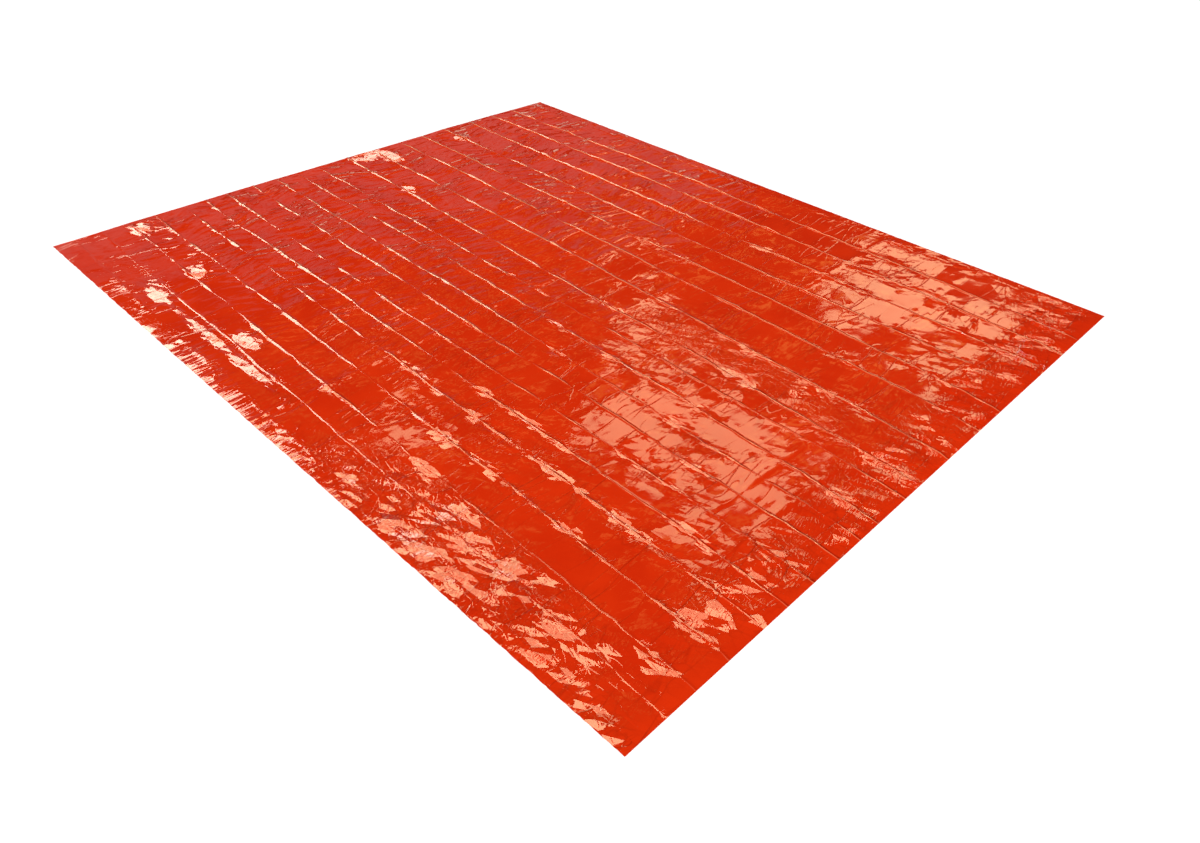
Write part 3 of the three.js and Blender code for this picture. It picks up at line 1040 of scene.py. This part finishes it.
SOFTBOXES = (
    Softbox("softbox_right", (5.98, 1.44, 3.0), (1.40, 1.60), 3.5, WARM),
    Softbox("softbox_right_core", (5.98, 1.0, 3.0), (1.2, 0.7), 2.2, WARM),
    Softbox("softbox_middle", (2.75, 1.51, 3.0), (0.94, 1.50), 4.1, WARM),
    Softbox("softbox_middle_core", (2.75, 1.1, 3.0), (0.9, 0.7), 2.4, WARM),
    Softbox("softbox_small_right", (3.82, 2.93, 3.0), (0.5, 0.54), 4.2, WARM),
    Softbox("softbox_small_left", (1.24, 2.93, 3.0), (0.57, 0.32), 4.2, WARM),
    Softbox("window", (-0.45, 3.75, 2.6), (1.4, 2.3), 12.5, PALE),
    Softbox("ceiling_right", (-0.15, 0.9, 2.6), (0.4, 3.0), 11.0, WARM),
    Softbox("ceiling_middle", (-0.6, 0.9, 2.6), (0.4, 3.0), 6.0, WARM),
    Softbox("ceiling_left", (-1.05, 0.9, 2.6), (0.4, 3.0), 9.0, WARM),
    Softbox("slat_1", (3.1, 0.42, 2.6), (5.2, 0.07), 1.5, AMBER),
    Softbox("slat_2", (3.4, 0.86, 2.6), (4.6, 0.07), 1.5, AMBER),
    Softbox("slat_3", (3.2, 1.5, 2.6), (5.0, 0.06), 1.5, AMBER),
    Softbox("slat_4", (3.1, 2.05, 2.6), (5.2, 0.08), 1.5, AMBER),
    Softbox("slat_5", (3.3, 2.75, 2.6), (4.8, 0.06), 1.5, AMBER),
    Softbox("slat_6", (3.1, 3.5, 2.6), (5.2, 0.08), 1.5, AMBER),
    Softbox("slat_7", (3.1, 3.95, 2.6), (5.2, 0.06), 1.5, AMBER),
    Softbox("horizon", (4.4, 5.6, 0.55), (7.0, 0.6), 1.2, PALE, BAG_HEAD),
    Softbox("rear_low", (-3.0, -3.0, 1.5), (2.4, 0.8), 1.6, PALE, BAG_MIDDLE),
    Softbox("rear_high", (-3.4, -2.6, 2.6), (1.2, 0.8), 2.2, PALE, BAG_MIDDLE),
    Softbox("side_low", (3.0, -3.2, 1.5), (1.8, 0.7), 1.4, PALE, BAG_MIDDLE),
    Softbox("veil_low", (2.4, 4.6, 1.45), (7.0, 0.22), 0.33, PLAIN, BAG_RIGHT),
    Softbox("veil_second", (2.4, 4.6, 1.75), (7.0, 0.22), 0.33, PLAIN, BAG_RIGHT),
    Softbox("veil_third", (2.4, 4.6, 2.05), (7.0, 0.22), 0.30, PLAIN, BAG_RIGHT),
    Softbox("veil_high", (2.4, 4.6, 2.33), (7.0, 0.18), 0.20, PLAIN, BAG_RIGHT),
)

# Key light and the light of the air
SUN_STRENGTH = 4.4
SUN_ANGLE = math.radians(35)
SUN_HEADING = (0.35, 0.45, -0.82)
AIR_STRENGTH = 0.015
WHITE = (1.0, 1.0, 1.0)

# Floor and backdrop, in metres
FLOOR_SIZE = 40.0
FLOOR_DROP = 0.0004  # below the bag
WALL_RADIUS, WALL_HEIGHT, WALL_SIDES = 18.0, 16.0, 128
WALL_GLOW = 0.6
STAGE_ROUGHNESS = 0.9
FRAME_WIDTH = 36.0  # the camera's, in millimetres


def place_facing(data, place, heading, roll=0.0):
    """A light or a camera at a place, looking along a heading."""
    holder = bpy.data.objects.new(data.name, data)
    holder.location = place
    holder.rotation_mode = "QUATERNION"
    holder.rotation_quaternion = Vector(heading).to_track_quat("-Z", "Y") @ Quaternion((0, 0, 1), roll)
    bpy.context.scene.collection.objects.link(holder)
    return holder


def add_softbox(softbox):
    light = bpy.data.lights.new(softbox.name, "AREA")
    light.shape = "RECTANGLE"
    light.size, light.size_y = softbox.size
    light.energy = softbox.brightness * math.pi * light.size * light.size_y
    light.color = softbox.colour
    x, y, _ = softbox.place
    aim = softbox.aim or (x, y, 0.0)
    lamp = place_facing(light, softbox.place, Vector(aim) - Vector(softbox.place))
    lamp.visible_camera = False
    lamp.visible_diffuse = False


def add_sun():
    light = bpy.data.lights.new("key", "SUN")
    light.energy = SUN_STRENGTH
    light.angle = SUN_ANGLE
    place_facing(light, BAG_MIDDLE, SUN_HEADING)


def add_camera(look):
    camera = bpy.data.cameras.new("camera")
    camera.lens = look.lens
    camera.sensor_width = FRAME_WIDTH
    sight = Vector(look.camera_aim) - Vector(look.camera_place)
    bpy.context.scene.camera = place_facing(camera, look.camera_place, sight, look.camera_roll)


def add_floor(look):
    deselect_all()
    bpy.ops.mesh.primitive_plane_add(size=FLOOR_SIZE, location=(0.0, 0.0, -FLOOR_DROP))
    floor = bpy.context.object
    floor.name = "floor"
    shader = Shader("pale_floor")
    shader.set(base_color=opaque(look.floor_colour), roughness=STAGE_ROUGHNESS)
    floor.data.materials.append(shader.material)


def add_backdrop(look):
    """A pale wall all round, which only the camera sees."""
    deselect_all()
    bpy.ops.mesh.primitive_cylinder_add(
        vertices=WALL_SIDES, radius=WALL_RADIUS, depth=WALL_HEIGHT, end_fill_type="NOTHING",
        location=(0.0, 0.0, WALL_HEIGHT / 2),
    )
    bpy.ops.object.shade_smooth()
    wall = bpy.context.object
    wall.name = "backdrop"
    wall.visible_diffuse = False
    wall.visible_glossy = False
    wall.visible_shadow = False
    shader = Shader("pale_backdrop")
    pale = opaque(look.floor_colour)
    shader.set(
        base_color=pale, roughness=STAGE_ROUGHNESS, emission_color=pale, emission_strength=WALL_GLOW
    )
    wall.data.materials.append(shader.material)


def set_air():
    world = bpy.data.worlds.new("dim_room")
    world.use_nodes = True
    air = world.node_tree.nodes["Background"].inputs
    air["Color"].default_value = opaque(WHITE)
    air["Strength"].default_value = AIR_STRENGTH
    bpy.context.scene.world = world
    bpy.context.scene.view_settings.view_transform = "Standard"


class BAG_OT_make_film_bag(bpy.types.Operator):
    """Make the creased film bag in place of its plain solid."""

    bl_idname = "sleeping_bag.make_film_bag"
    bl_label = "Film bag"

    def execute(self, context):
        sizes = context.scene.bag_sizes
        bag = shape_film_bag(sizes)
        bag.data.materials.append(CreasedFilm(context.scene.film_finish).material)
        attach(bag, "root")
        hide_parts(BAG_NODE)
        return {"FINISHED"}


class BAG_OT_make_stage(bpy.types.Operator):
    """Make the floor, the backdrop, the lights and the camera."""

    bl_idname = "sleeping_bag.make_stage"
    bl_label = "Stage"

    def execute(self, context):
        look = context.scene.stage_look
        add_floor(look)
        add_backdrop(look)
        add_sun()
        for softbox in SOFTBOXES:
            add_softbox(softbox)
        add_camera(look)
        set_air()
        return {"FINISHED"}


class BAG_PT_sidebar(bpy.types.Panel):
    """Lists the pieces of the sleeping bag and its stage."""

    bl_idname = "BAG_PT_sidebar"
    bl_label = "Sleeping Bag"
    bl_space_type = "VIEW_3D"
    bl_region_type = "UI"
    bl_category = "Sleeping Bag"

    def draw(self, context):
        for group, operator in (
            (context.scene.bag_sizes, BAG_OT_make_film_bag),
            (context.scene.film_finish, None),
            (context.scene.stage_look, BAG_OT_make_stage),
        ):
            for name in group.__annotations__:
                self.layout.prop(group, name)
            if operator:
                self.layout.operator(operator.bl_idname)


CLASSES = (BagSizes, FilmFinish, StageLook, BAG_OT_make_film_bag, BAG_OT_make_stage, BAG_PT_sidebar)


def register():
    for cls in CLASSES:
        bpy.utils.register_class(cls)
    bpy.types.Scene.bag_sizes = bpy.props.PointerProperty(type=BagSizes)
    bpy.types.Scene.film_finish = bpy.props.PointerProperty(type=FilmFinish)
    bpy.types.Scene.stage_look = bpy.props.PointerProperty(type=StageLook)


def unregister():
    del bpy.types.Scene.stage_look
    del bpy.types.Scene.film_finish
    del bpy.types.Scene.bag_sizes
    for cls in reversed(CLASSES):
        bpy.utils.unregister_class(cls)


def main():
    register()
    bpy.ops.sleeping_bag.make_film_bag()
    bpy.ops.sleeping_bag.make_stage()


if __name__ == "__main__":
    main()
